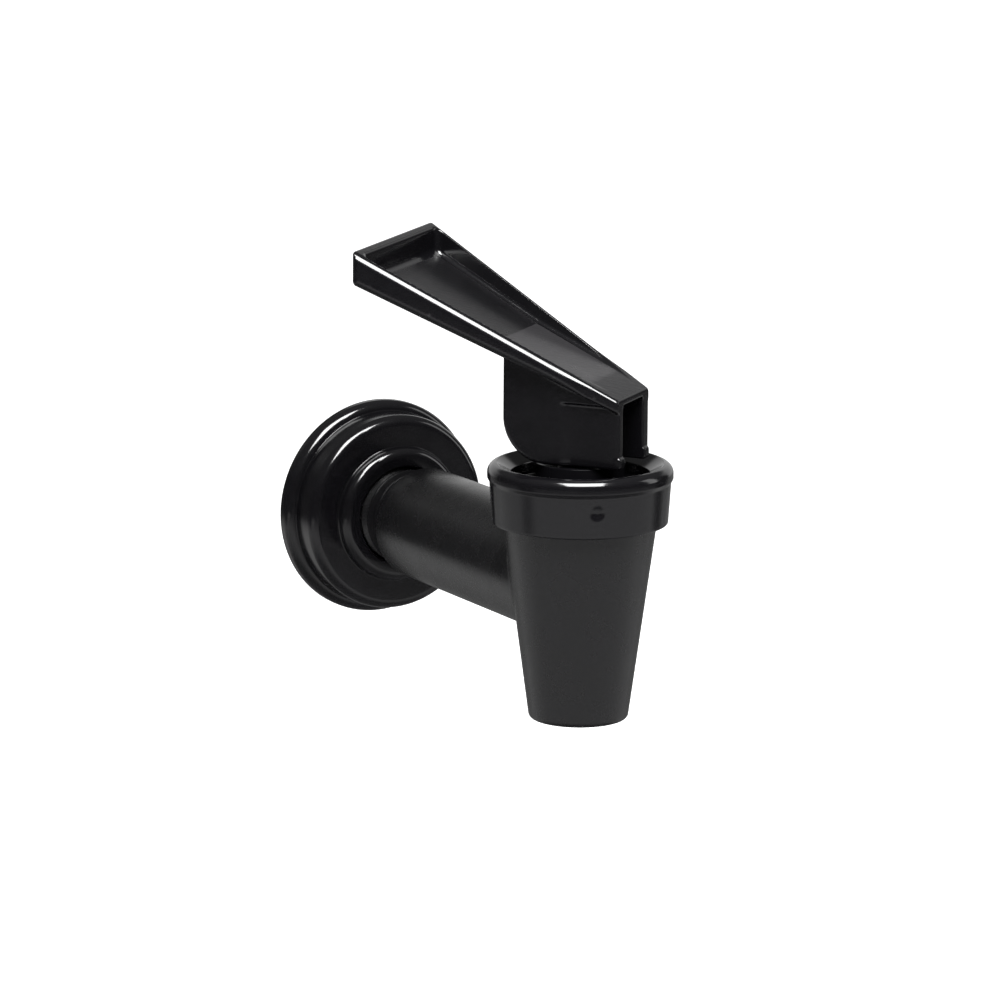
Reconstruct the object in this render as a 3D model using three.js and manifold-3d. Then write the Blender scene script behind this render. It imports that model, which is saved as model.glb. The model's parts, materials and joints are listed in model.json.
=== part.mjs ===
// A drip-free lever faucet for a drink dispenser, in millimetres, with +Z up.
// The origin is where the axis of the threaded shank meets the outside of the tank wall.
// The shank runs along Y: the tank is towards +Y, and the spout hangs towards -Y.
import * as THREE from "three";
import { mergeVertices } from "three/addons/utils/BufferGeometryUtils.js";
import Module from "manifold-3d";

const wasm = await Module();
wasm.setup();

// ---- Driving dimensions ----
const GAP = 0.3; // between pieces that touch on the real faucet
const PAST = 1; // how far a cutter runs past the face it opens

const STEM_Y = -71; // the stem's upright axis, in front of the tank wall

// Threaded shank and barrel, along Y
const THREAD_R = 7.94; // a 5/8 inch thread over its crests
const SHANK_END_Y = 13;
const BARREL_BACK_Y = -19.5;
const BARREL_FRONT_R = 9.72;
const BARREL_BACK_R = 9.3;
const INLET_R = 5; // the inlet bore at the valve chamber
const INLET_MOUTH_R = 5.3; // and at the shank's end

// Spout, along Z at the stem's axis
const SPOUT_TOP_Z = 9.8;
const SPOUT_TOP_R = 12.4;
const SPOUT_END_Z = -22.4;
const SPOUT_END_R = 8;
const SPOUT_WALL = 1.9;
const EDGE = 0.8; // rounding of the moulded edges

// Valve chamber and its seat
const NECK_R = 12.3; // the neck inside the bonnet's skirt
const NECK_TOP_Z = 13.5;
const LEDGE_R = 10.9; // the ledge that the seat cup's rim lies on
const LEDGE_Z = 11.2;
const CHAMBER_R = 8.4;
const CHAMBER_FLOOR_Z = -7.6;
const SEAT_BORE_R = 4.6;
const SEAT_RIDGE_R = 5.8;
const SEAT_RIDGE = 1;
const WEB_UNDER_Z = -9.6; // underside of the web that carries the seat

// Bonnet
const MOUTH_Z = 18.1; // the inner edge of the bonnet's rim
const MOUTH_R = 11.2;
const BEAD_R = 1.6; // the round bead along the bonnet's top
const BONNET_R = 15;
const BAND_TOP_Z = 16.7;
const BAND_TOP_R = 14.65;
const BAND_END_Z = 9.95;
const BAND_END_R = 14.2;
const RECESS_DEPTH = 2.2;
const HUB_R = 7.2;
const HUB_Z = 19.9; // top of the hub that the lever's cams stand on
const CEILING_Z = 13.9;

// Stem, spring and seat cup
const STEM_R = 3.6;
const STEM_TOP_Z = 29.4;
const STEM_POST_R = 2.9; // inside the seat cup's neck
const KNOB_R = 3.9;
const SHOULDER_Z = 4.5;
const SHOULDER_R = 6.5;
const SHOULDER = 1.1;
const STEM_END_Z = -3.5;
const KNOB = 2.4;
const SPRING_R = 5.2; // to the middle of its wire
const WIRE_R = 0.45;
const SPRING_TURNS = 5;
const WASHER = 0.8;
const CUP_RIM_R = 10.6;
const CUP_RIM = 1.6;
const CUP_SKIRT_R = 8;
const CUP_SKIRT_WALL = 1;
const CUP_PLUG_R = 5.9;
const CUP_FLOOR = 2.5;

// Lever handle, measured from its pivot pin: "back" is towards the paddle's end
const HANDLE_YAW = 37; // degrees, from straight over the barrel towards -X
const PIN_Z = 25.9;
const PIN_R = 1.6;
const CHEEK_FRONT = 9.1;
const CHEEK_BACK = 10.9;
const CHEEK_FOOT = 5.7; // from the pin down to the flat feet
const CAM_R = 7.3; // the round corner that rolls on the hub
const SLOT_HALF = 4.2;
const FRONT_HALF = 6.6; // half widths of the paddle
const END_HALF = 16.3;
const PADDLE_BACK = 33.4;
const PADDLE_FRONT_TOP = 5.6;
const PADDLE_BACK_TOP = 28.3;
const PADDLE_FRONT_SIDE = 2.2; // heights of its side walls
const PADDLE_BACK_SIDE = 5.6;
const TRAY_FRONT_Y = -5; // the tray's floor leaves the paddle's top here,
const TRAY_KINK_Y = 15; // flattens out here,
const TRAY_KINK_DEPTH = 3;
const TRAY_DEPTH = 4.2; // and is this deep at the far end
const RIM = 1.4;
const CEILING_WALL = 1.3; // over the slot between the cheeks
const TOE = 0.5; // how far the round toes of the cheeks stand forward
const TOE_HEIGHT = 2.6;

// Wall fittings, along Y
const BORE_R = THREAD_R + GAP;
const FLANGE_R = 18.1;
const FLANGE_BACK_Y = -2;
const FLANGE_STEP_Y = -5.2;
const RING_R = 16.5;
const RING_Y = -10.8;
const FLANGE_HUB_R = 11.4;
const FLANGE_HUB_Y = -12.8;
const FLANGE_ROUND = 1.6;
const GASKET_R = 15;
const GASKET = 1.7;
const WALL = 2.4; // the tank's wall, clamped between the gasket and the nut's washer
const NUT_R = 11.5; // over its corners
const NUT = 3.5;
const NUT_WASHER_R = 10.8;
const NUT_WASHER = 1.2;

// ---- Helpers ----
const TURN = 2 * Math.PI;
const ROUND_STEPS = 4; // along each rounded corner of an outline
const FACETS = 48; // round the large pieces
const SMALL_FACETS = 32;

const plastic = (color, roughness) => new THREE.MeshStandardMaterial({ color, roughness, metalness: 0 });
const metal = (color, roughness) => new THREE.MeshStandardMaterial({ color, roughness, metalness: 1 });
const GLOSS_BLACK = plastic(0x0b0b0d, 0.12);
const SATIN_BLACK = plastic(0x1c1c20, 0.34);
const RUBBER = plastic(0x17171a, 0.75);
const SILICONE = plastic(0xd9d4c8, 0.55);
const ACETAL = plastic(0x161618, 0.4);
const STEEL = metal(0xb9bcc0, 0.3);

// An outline from its corners [a, b] or [a, b, radius]; a corner with a radius becomes an arc.
function outline(corners) {
  return corners.flatMap(([a, b, radius], i) => {
    const corner = new THREE.Vector2(a, b);
    if (!radius) return [corner];
    const [before, after] = [i - 1, i + 1].map((j) => corners.at(j % corners.length));
    const back = new THREE.Vector2(before[0], before[1]).sub(corner).normalize();
    const on = new THREE.Vector2(after[0], after[1]).sub(corner).normalize();
    const half = Math.acos(back.dot(on)) / 2;
    const middle = back.clone().add(on).setLength(radius / Math.sin(half)).add(corner);
    const first = corner.clone().addScaledVector(back, radius / Math.tan(half)).sub(middle);
    const last = corner.clone().addScaledVector(on, radius / Math.tan(half)).sub(middle);
    const sweep = Math.atan2(first.cross(last), first.dot(last));
    return Array.from({ length: ROUND_STEPS + 1 }, (_, k) =>
      first.clone().rotateAround(new THREE.Vector2(), (sweep * k) / ROUND_STEPS).add(middle),
    );
  });
}

// A closed geometry as a solid whose faces point out.
function solid(geometry) {
  const bare = geometry.clone().deleteAttribute("normal").deleteAttribute("uv");
  const merged = mergeVertices(bare, 1e-4);
  const vertProperties = merged.attributes.position.array;
  const made = (triVerts) => new wasm.Manifold(new wasm.Mesh({ numProp: 3, vertProperties, triVerts }));
  const triVerts = new Uint32Array(merged.index.array);
  const first = made(triVerts);
  return first.volume() > 0 ? first : made(triVerts.toReversed());
}

// Outlines of [radius, height] turned about Z, and of [radius, y] turned about Y.
function turnedY(corners, facets = FACETS) {
  const points = outline(corners);
  return solid(new THREE.LatheGeometry([...points, points[0]], facets));
}
const turnedZ = (corners, facets = FACETS) => turnedY(corners, facets).rotate([90, 0, 0]);

// An outline of [x, y] raised from one height to another.
function raised(corners, low, high) {
  const shape = new THREE.Shape(outline(corners));
  return solid(new THREE.ExtrudeGeometry(shape, { depth: high - low, bevelEnabled: false })).translate([0, 0, low]);
}

// An outline of [y, z] carried across from one x to another.
function across(corners, low, high) {
  const shape = new THREE.Shape(outline(corners));
  const geometry = new THREE.ExtrudeGeometry(shape, { depth: high - low, bevelEnabled: false });
  const [x, y, z] = [[1, 0, 0], [0, 1, 0], [0, 0, 1]].map((axis) => new THREE.Vector3(...axis));
  return solid(geometry.applyMatrix4(new THREE.Matrix4().makeBasis(y, z, x))).translate([low, 0, 0]);
}

function mesh(name, part, material) {
  const { numProp, numVert, vertProperties, triVerts } = part.getMesh();
  const position = new Float32Array(numVert * 3);
  for (let i = 0; i < numVert; i++) {
    position.set(vertProperties.subarray(i * numProp, i * numProp + 3), i * 3);
  }
  const geometry = new THREE.BufferGeometry();
  geometry.setAttribute("position", new THREE.BufferAttribute(position, 3));
  geometry.setIndex(new THREE.BufferAttribute(triVerts, 1));
  geometry.computeVertexNormals();
  const made = new THREE.Mesh(geometry, material);
  made.name = name;
  return made;
}

// ---- Body: one moulding of spout, neck, barrel and threaded shank ----
function body() {
  const spout = turnedZ([
    [0, SPOUT_END_Z],
    [SPOUT_END_R, SPOUT_END_Z, EDGE],
    [SPOUT_TOP_R, SPOUT_TOP_Z],
    [NECK_R, SPOUT_TOP_Z],
    [NECK_R, NECK_TOP_Z],
    [0, NECK_TOP_Z],
  ]);
  const chamber = turnedZ([
    [0, WEB_UNDER_Z - PAST],
    [SEAT_BORE_R, WEB_UNDER_Z - PAST],
    [SEAT_BORE_R, CHAMBER_FLOOR_Z + SEAT_RIDGE],
    [SEAT_RIDGE_R, CHAMBER_FLOOR_Z + SEAT_RIDGE],
    [SEAT_RIDGE_R, CHAMBER_FLOOR_Z],
    [CHAMBER_R, CHAMBER_FLOOR_Z],
    [CHAMBER_R, LEDGE_Z],
    [LEDGE_R, LEDGE_Z],
    [LEDGE_R, NECK_TOP_Z + PAST],
    [0, NECK_TOP_Z + PAST],
  ]);
  const taper = (SPOUT_TOP_R - SPOUT_END_R) / (SPOUT_TOP_Z - SPOUT_END_Z);
  const webR = SPOUT_END_R + taper * (WEB_UNDER_Z - SPOUT_END_Z) - SPOUT_WALL;
  const outlet = turnedZ([
    [0, SPOUT_END_Z - PAST],
    [SPOUT_END_R - SPOUT_WALL - taper * PAST, SPOUT_END_Z - PAST],
    [webR, WEB_UNDER_Z],
    [0, WEB_UNDER_Z],
  ]);
  const barrel = turnedY([
    [0, STEM_Y],
    [BARREL_FRONT_R, STEM_Y],
    [BARREL_BACK_R, BARREL_BACK_Y, EDGE],
    [THREAD_R, BARREL_BACK_Y],
    [THREAD_R, SHANK_END_Y, EDGE],
    [0, SHANK_END_Y],
  ]);
  const inlet = turnedY(
    [
      [0, STEM_Y],
      [INLET_R, STEM_Y],
      [INLET_MOUTH_R, SHANK_END_Y + PAST],
      [0, SHANK_END_Y + PAST],
    ],
    SMALL_FACETS,
  );
  const upright = (part) => part.translate([0, STEM_Y, 0]);
  const cuts = upright(chamber).add(upright(outlet)).add(inlet);
  return mesh("body", upright(spout).add(barrel).subtract(cuts), SATIN_BLACK);
}

// ---- Bonnet: the screwed cap, with a raised hub that the stem slides and turns in ----
function bonnet() {
  const hole = STEM_R + GAP;
  const skirt = NECK_R + GAP;
  const pressR = CUP_RIM_R - CUP_SKIRT_WALL;
  const part = turnedZ([
    [hole, CEILING_Z],
    [pressR - CUP_RIM, CEILING_Z],
    [pressR - CUP_RIM, CEILING_Z - GAP],
    [pressR, CEILING_Z - GAP],
    [pressR, CEILING_Z],
    [skirt, CEILING_Z],
    [skirt, BAND_END_Z],
    [BAND_END_R, BAND_END_Z],
    [BAND_TOP_R, BAND_TOP_Z],
    [BONNET_R, MOUTH_Z - BEAD_R / 2],
    [BONNET_R, MOUTH_Z + BEAD_R, BEAD_R],
    [BONNET_R - BEAD_R, MOUTH_Z + BEAD_R],
    [MOUTH_R, MOUTH_Z],
    [MOUTH_R - GAP, MOUTH_Z - RECESS_DEPTH],
    [HUB_R, MOUTH_Z - RECESS_DEPTH],
    [HUB_R, HUB_Z, EDGE],
    [hole, HUB_Z],
  ]);
  return mesh("bonnet", part.translate([0, STEM_Y, 0]), GLOSS_BLACK);
}

// ---- Valve train: seat cup, spring, washer, stem and pin, on the stem's axis ----
function seatCup() {
  const rimTop = LEDGE_Z + GAP + CUP_RIM;
  const inner = CUP_SKIRT_R - CUP_SKIRT_WALL;
  const waist = SHOULDER_Z - SHOULDER - GAP;
  const low = CHAMBER_FLOOR_Z + SEAT_RIDGE + GAP;
  const knobTop = STEM_END_Z + KNOB;
  const part = turnedZ([
    [0, low],
    [CUP_PLUG_R, low, EDGE],
    [CUP_PLUG_R, waist - CUP_RIM - CUP_SKIRT_WALL],
    [CUP_SKIRT_R, waist],
    [CUP_SKIRT_R, rimTop - CUP_RIM],
    [CUP_RIM_R, rimTop - CUP_RIM],
    [CUP_RIM_R, rimTop],
    [inner, rimTop],
    [inner, waist],
    [STEM_POST_R + GAP, waist],
    [STEM_POST_R + GAP, knobTop + GAP],
    [KNOB_R + GAP, knobTop + GAP],
    [KNOB_R + GAP, low + CUP_FLOOR],
    [0, low + CUP_FLOOR],
  ]);
  return mesh("seat_cup", part.translate([0, STEM_Y, 0]), SILICONE);
}

function springWasher() {
  const high = CEILING_Z - GAP;
  const part = turnedZ(
    [
      [STEM_R + GAP, high - WASHER],
      [SHOULDER_R, high - WASHER],
      [SHOULDER_R, high],
      [STEM_R + GAP, high],
    ],
    SMALL_FACETS,
  );
  return mesh("spring_washer", part.translate([0, STEM_Y, 0]), STEEL);
}

class Helix extends THREE.Curve {
  constructor(radius, low, high, turns) {
    super();
    Object.assign(this, { radius, low, high, turns });
  }
  getPoint(t, target = new THREE.Vector3()) {
    const angle = TURN * this.turns * t;
    const height = this.low + (this.high - this.low) * t;
    return target.set(this.radius * Math.cos(angle), this.radius * Math.sin(angle), height);
  }
}

function closingSpring() {
  const low = SHOULDER_Z + GAP + WIRE_R;
  const high = CEILING_Z - GAP - WASHER - GAP - WIRE_R;
  const wireSides = 8;
  const stepsPerTurn = 16;
  const wire = new THREE.Shape(
    Array.from({ length: wireSides }, (_, i) =>
      new THREE.Vector2(WIRE_R, 0).rotateAround(new THREE.Vector2(), (TURN * i) / wireSides),
    ),
  );
  const coil = new THREE.ExtrudeGeometry(wire, {
    steps: SPRING_TURNS * stepsPerTurn,
    extrudePath: new Helix(SPRING_R, low, high, SPRING_TURNS),
  });
  return mesh("closing_spring", solid(coil).translate([0, STEM_Y, 0]), STEEL);
}

function stem() {
  const rod = turnedZ(
    [
      [0, STEM_END_Z],
      [KNOB_R, STEM_END_Z],
      [KNOB_R, STEM_END_Z + KNOB],
      [STEM_POST_R, STEM_END_Z + KNOB],
      [STEM_POST_R, SHOULDER_Z - SHOULDER],
      [SHOULDER_R, SHOULDER_Z - SHOULDER],
      [SHOULDER_R, SHOULDER_Z],
      [STEM_R, SHOULDER_Z],
      [STEM_R, STEM_TOP_Z, EDGE],
      [0, STEM_TOP_Z],
    ],
    SMALL_FACETS,
  ).rotate([0, 0, HANDLE_YAW]);
  const hole = pinShape(PIN_R + GAP, STEM_R + PAST).translate([0, 0, PIN_Z]);
  return mesh("stem", rod.subtract(hole).translate([0, STEM_Y, 0]), ACETAL);
}

// A round bar across the faucet at the handle's yaw, centred on the origin.
function pinShape(radius, half) {
  const bar = turnedY(
    [
      [0, -half],
      [radius, -half],
      [radius, half],
      [0, half],
    ],
    SMALL_FACETS,
  );
  return bar.rotate([0, 0, HANDLE_YAW - 90]);
}

function pivotPin() {
  const half = FRONT_HALF - RIM / 2 - GAP;
  return mesh("pivot_pin", pinShape(PIN_R, half).translate([0, STEM_Y, PIN_Z]), STEEL);
}

// ---- Handle: a tray-shaped paddle on two cheeks, around the pin ----
function handle() {
  // Heights along the paddle, at y behind the pin.
  const along = (front, end) => (y) => front + ((end - front) * (y + CHEEK_FRONT)) / (PADDLE_BACK + CHEEK_FRONT);
  const top = along(PADDLE_FRONT_TOP, PADDLE_BACK_TOP);
  const side = along(PADDLE_FRONT_SIDE, PADDLE_BACK_SIDE);
  const half = along(FRONT_HALF, END_HALF);
  const underside = (y) => top(y) - side(y);
  const trayOverCheeks = (TRAY_KINK_DEPTH * (CHEEK_BACK - TRAY_FRONT_Y)) / (TRAY_KINK_Y - TRAY_FRONT_Y);
  const ceiling = (y) =>
    top(y) - CEILING_WALL - (trayOverCheeks * (y + CHEEK_FRONT)) / (CHEEK_BACK + CHEEK_FRONT);
  const wide = END_HALF + PAST;
  const high = PADDLE_BACK_TOP + PAST;

  const plan = (inset, front, end) => [
    [-half(-front) + inset, -front],
    [half(-front) - inset, -front],
    [half(end) - inset, end, EDGE],
    [-half(end) + inset, end, EDGE],
  ];
  const slab = across(
    [
      [-CHEEK_FRONT, underside(-CHEEK_FRONT)],
      [PADDLE_BACK, underside(PADDLE_BACK)],
      [PADDLE_BACK, top(PADDLE_BACK)],
      [-CHEEK_FRONT, top(-CHEEK_FRONT)],
    ],
    -wide,
    wide,
  );
  const hollow = across(
    [
      [TRAY_FRONT_Y, top(TRAY_FRONT_Y)],
      [TRAY_KINK_Y, top(TRAY_KINK_Y) - TRAY_KINK_DEPTH],
      [PADDLE_BACK, top(PADDLE_BACK) - TRAY_DEPTH],
      [PADDLE_BACK, high],
      [TRAY_FRONT_Y, high],
    ],
    -wide,
    wide,
  );
  const paddle = raised(plan(0, CHEEK_FRONT, PADDLE_BACK), -CHEEK_FOOT, high).intersect(slab);
  const dish = raised(plan(RIM, CHEEK_FRONT - RIM, PADDLE_BACK - RIM), -CHEEK_FOOT, high).intersect(hollow);

  const block = across(
    [
      [-CHEEK_FRONT, -CHEEK_FOOT],
      [CHEEK_BACK, -CHEEK_FOOT, CAM_R],
      [CHEEK_BACK, ceiling(CHEEK_BACK)],
      [-CHEEK_FRONT, ceiling(-CHEEK_FRONT)],
    ],
    -FRONT_HALF,
    FRONT_HALF,
  );
  const toes = across(
    [
      [-CHEEK_FRONT - TOE, -CHEEK_FOOT, EDGE],
      [PAST - CHEEK_FRONT, -CHEEK_FOOT],
      [PAST - CHEEK_FRONT, TOE_HEIGHT - CHEEK_FOOT],
      [-CHEEK_FRONT - TOE, TOE_HEIGHT - CHEEK_FOOT, EDGE],
    ],
    -FRONT_HALF,
    FRONT_HALF,
  );
  const slot = across(
    [
      [-CHEEK_FRONT - PAST, -CHEEK_FOOT - PAST],
      [CHEEK_BACK + PAST, -CHEEK_FOOT - PAST],
      [CHEEK_BACK + PAST, ceiling(CHEEK_BACK)],
      [-CHEEK_FRONT - PAST, ceiling(-CHEEK_FRONT - PAST)],
    ],
    -SLOT_HALF,
    SLOT_HALF,
  );
  const pocket = pinShape(PIN_R + GAP, FRONT_HALF - RIM / 2).rotate([0, 0, -HANDLE_YAW]);
  const part = paddle.subtract(dish).add(block).add(toes).subtract(slot).subtract(pocket);
  const made = mesh("handle", part, GLOSS_BLACK);
  made.rotation.z = THREE.MathUtils.degToRad(HANDLE_YAW);
  made.position.set(0, STEM_Y, PIN_Z);
  return made;
}

// ---- Wall fittings: threaded flange, gasket, tank-side washer and nut ----
function flange() {
  const part = turnedY([
    [BORE_R, FLANGE_BACK_Y],
    [FLANGE_R, FLANGE_BACK_Y, EDGE],
    [FLANGE_R, FLANGE_STEP_Y, FLANGE_ROUND],
    [RING_R, FLANGE_STEP_Y],
    [RING_R, RING_Y, FLANGE_ROUND],
    [FLANGE_HUB_R, RING_Y],
    [FLANGE_HUB_R, FLANGE_HUB_Y, FLANGE_ROUND],
    [BORE_R, FLANGE_HUB_Y],
  ]);
  return mesh("flange", part, GLOSS_BLACK);
}

const flatRing = (radius, low, high) =>
  turnedY([
    [BORE_R, low],
    [radius, low],
    [radius, high],
    [BORE_R, high],
  ]);

function shankNut() {
  const low = WALL + NUT_WASHER + GAP;
  const sides = 6;
  const corners = Array.from({ length: sides }, (_, i) => {
    const angle = (TURN * i) / sides;
    return [NUT_R * Math.cos(angle), NUT_R * Math.sin(angle)];
  });
  const hexagon = raised(corners, -low - NUT, -low).rotate([90, 0, 0]);
  const bore = turnedY([
    [0, low - PAST],
    [BORE_R, low - PAST],
    [BORE_R, low + NUT + PAST],
    [0, low + NUT + PAST],
  ]);
  return mesh("shank_nut", hexagon.subtract(bore), SATIN_BLACK);
}

const faucet = new THREE.Group();
faucet.add(body(), bonnet(), seatCup(), springWasher(), closingSpring(), stem(), pivotPin(), handle());
faucet.add(flange(), shankNut());
faucet.add(mesh("flange_gasket", flatRing(GASKET_R, -GASKET, 0), RUBBER));
faucet.add(mesh("nut_washer", flatRing(NUT_WASHER_R, WALL, WALL + NUT_WASHER), RUBBER));

export default faucet;
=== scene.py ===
import json
import math

import bmesh
import bpy
import numpy as np
from mathutils import Matrix, Vector


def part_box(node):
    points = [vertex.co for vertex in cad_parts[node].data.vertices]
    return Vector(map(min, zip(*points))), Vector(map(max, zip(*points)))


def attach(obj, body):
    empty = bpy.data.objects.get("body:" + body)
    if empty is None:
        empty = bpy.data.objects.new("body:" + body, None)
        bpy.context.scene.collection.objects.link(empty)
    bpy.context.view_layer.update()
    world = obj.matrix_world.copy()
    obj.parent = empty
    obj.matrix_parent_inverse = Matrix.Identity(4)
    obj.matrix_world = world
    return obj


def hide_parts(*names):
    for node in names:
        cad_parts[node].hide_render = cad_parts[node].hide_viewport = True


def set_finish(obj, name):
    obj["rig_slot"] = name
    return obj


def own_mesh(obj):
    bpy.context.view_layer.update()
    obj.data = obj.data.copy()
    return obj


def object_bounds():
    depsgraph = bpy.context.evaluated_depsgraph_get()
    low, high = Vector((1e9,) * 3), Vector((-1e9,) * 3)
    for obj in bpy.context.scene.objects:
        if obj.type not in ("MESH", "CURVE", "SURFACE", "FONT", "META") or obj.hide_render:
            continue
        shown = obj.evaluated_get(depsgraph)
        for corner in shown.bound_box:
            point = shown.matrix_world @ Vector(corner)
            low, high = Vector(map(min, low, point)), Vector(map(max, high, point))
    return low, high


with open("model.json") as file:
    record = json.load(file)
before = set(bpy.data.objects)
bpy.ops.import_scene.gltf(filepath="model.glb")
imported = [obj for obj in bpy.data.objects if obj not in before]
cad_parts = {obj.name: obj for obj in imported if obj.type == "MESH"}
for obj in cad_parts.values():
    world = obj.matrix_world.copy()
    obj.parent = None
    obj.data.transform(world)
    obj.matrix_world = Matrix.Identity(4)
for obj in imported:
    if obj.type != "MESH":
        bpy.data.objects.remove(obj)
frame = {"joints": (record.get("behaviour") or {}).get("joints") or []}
cad_low, cad_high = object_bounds()

MM = 0.001
TURN = 2 * math.pi

# ---------------------------------------------------------------- places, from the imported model
joints = {j["name"]: j for j in frame["joints"]}
STEM = np.array(joints["handle_swivel"]["pos_m"]) / MM
PIN = np.array(joints["handle_tilt"]["pos_m"]) / MM
LATERAL = -np.array(joints["handle_tilt"]["axis"])  # the handle's own x, towards its far side
UP = np.array([0.0, 0.0, 1.0])
BEHIND = np.cross(UP, LATERAL)  # towards the paddle's end
HANDLE_AXES = np.array([LATERAL, BEHIND, UP])
ROW_AXES = np.eye(3)
STEM_FOOT = np.array([STEM[0], STEM[1], 0.0])
ORIGIN = np.zeros(3)


def span(node):
    """Lowest and highest corner of a CAD node, in millimetres."""
    low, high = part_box(node)
    return np.array(low) / MM, np.array(high) / MM


# ---------------------------------------------------------------- rounded solids as distance fields
def join(a, b, r=0.0):
    """Both solids, with a fillet of radius r, which may vary, where they meet."""
    if np.isscalar(r) and not r:
        return np.minimum(a, b)
    return np.maximum(r, np.minimum(a, b)) - np.hypot(np.maximum(r - a, 0), np.maximum(r - b, 0))


def meet(a, b, r=0.0):
    """What two solids share, with its edge rounded to radius r, which may vary over the solid."""
    if np.isscalar(r) and not r:
        return np.maximum(a, b)
    return np.minimum(-r, np.maximum(a, b)) + np.hypot(np.maximum(r + a, 0), np.maximum(r + b, 0))


def cut(a, b, r=0.0):
    """Solid a without solid b, with the cut's edge rounded to radius r."""
    return meet(a, -b, r)


def rising(value, low, high):
    """0 below low, 1 above high, and smooth between them."""
    t = np.clip((value - low) / (high - low), 0, 1)
    return t * t * (3 - 2 * t)


def tilted(value, slope):
    """A distance from a plane that rises by slope, from the distance along one axis."""
    return value / math.hypot(1, slope)


# ---------------------------------------------------------------- meshes
def gradient(field, points, reach=0.02):
    """The field's direction of steepest rise at each point."""
    rise = np.empty_like(points)
    for axis in range(3):
        step = np.zeros(3)
        step[axis] = reach
        ahead, behind = field(*(points + step).T), field(*(points - step).T)
        rise[:, axis] = (ahead - behind) / (2 * reach)
    return rise


MIN_RISE2 = 0.05  # a point moves no further than this allows where the field is nearly flat,
MAX_MOVE = 0.3  # and no further than this in one round


def settle(field, points, rounds=3):
    """Moves points onto the surface where the field is zero."""
    for _ in range(rounds):
        rise = gradient(field, points)
        length2 = np.maximum((rise**2).sum(1), MIN_RISE2)
        off = np.clip(field(*points.T), -MAX_MOVE, MAX_MOVE)
        points = points - (off / length2)[:, None] * rise
    return points


def unit(vectors):
    """The vectors at length 1."""
    return vectors / np.maximum(np.linalg.norm(vectors, axis=1), 1e-6)[:, None]


def relaxed(field, points, quads, rounds=3):
    """Evens out the points along the surface."""
    ends = np.concatenate([quads[:, [i, (i + 1) % 4]] for i in range(4)])
    here, there = np.concatenate([ends, ends[:, ::-1]]).T
    share = np.bincount(here, minlength=len(points))
    for _ in range(rounds):
        mean = np.stack([np.bincount(here, points[there, k], len(points)) for k in range(3)], 1)
        step = mean / share[:, None] - points
        rise = unit(gradient(field, points))
        step -= (step * rise).sum(1)[:, None] * rise
        points = settle(field, points + 0.5 * step, 1)
    return points


def grown(field, low, high, step):
    """Points and quads of the surface where the field is zero, inside a box."""
    axes = [np.arange(a, b + step, step, dtype=np.float32) for a, b in zip(low, high)]
    shape = tuple(len(a) for a in axes)
    sparse = np.meshgrid(*axes, indexing="ij", sparse=True)
    value = np.broadcast_to(field(*sparse), shape).astype(np.float32)
    inside = value < 0
    cells, spots = [], []
    for axis in range(3):
        one, two = (axis + 1) % 3, (axis + 2) % 3
        near = [slice(None)] * 3
        far = [slice(None)] * 3
        near[axis], far[axis] = slice(None, -1), slice(1, None)
        found = np.argwhere(inside[tuple(near)] != inside[tuple(far)])
        nxt = found.copy()
        nxt[:, axis] += 1
        v0, v1 = value[tuple(found.T)], value[tuple(nxt.T)]
        spot = found.astype(np.float64)
        spot[:, axis] += v0 / (v0 - v1)
        corners = []
        for da, db in ((1, 1), (0, 1), (0, 0), (1, 0)):
            cell = found.copy()
            cell[:, one] -= da
            cell[:, two] -= db
            corners.append(np.ravel_multi_index(cell.T, shape))
        corners = np.stack(corners, 1)
        outwards = v0 < 0
        corners[~outwards] = corners[~outwards][:, ::-1]
        cells.append(corners)
        spots.append(spot)
    cells, spots = np.concatenate(cells), np.concatenate(spots)
    _, quads = np.unique(cells, return_inverse=True)
    quads = quads.reshape(cells.shape)
    flat = quads.ravel()
    count = np.bincount(flat)
    points = np.stack([np.bincount(flat, np.repeat(spots[:, k], 4)) / count for k in range(3)], 1)
    return points * step + np.array([a[0] for a in axes], float), quads


def mesh_object(name, points, faces):
    """An object from points in metres and an array of faces with the same number of corners."""
    data = bpy.data.meshes.new(name)
    data.vertices.add(len(points))
    data.vertices.foreach_set("co", np.asarray(points, np.float32).ravel())
    sides = faces.shape[1]
    data.loops.add(faces.size)
    data.loops.foreach_set("vertex_index", faces.astype(np.int32).ravel())
    data.polygons.add(len(faces))
    data.polygons.foreach_set("loop_start", np.arange(0, faces.size, sides, dtype=np.int32))
    data.update(calc_edges=True)
    data.validate()
    data.shade_smooth()
    made = bpy.data.objects.new(name, data)
    bpy.context.scene.collection.objects.link(made)
    return made


def placed(points, origin, axes):
    """Points of a local frame in millimetres as points of the row frame in metres."""
    return (points @ axes + origin) * MM


NORMAL_REACH = 0.03


def carved(name, field, low, high, step, origin=ORIGIN, axes=ROW_AXES):
    """The smooth closed mesh of a distance field, with the field's own normals."""
    points, quads = grown(field, low, high, step)
    points = relaxed(field, settle(field, points), quads)
    normals = unit(gradient(field, points, NORMAL_REACH) @ axes)
    made = mesh_object(name, placed(points, origin, axes), quads)
    made.data.normals_split_custom_set_from_vertices(normals.tolist())
    return made


ARC_STEP = math.radians(6)


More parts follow.
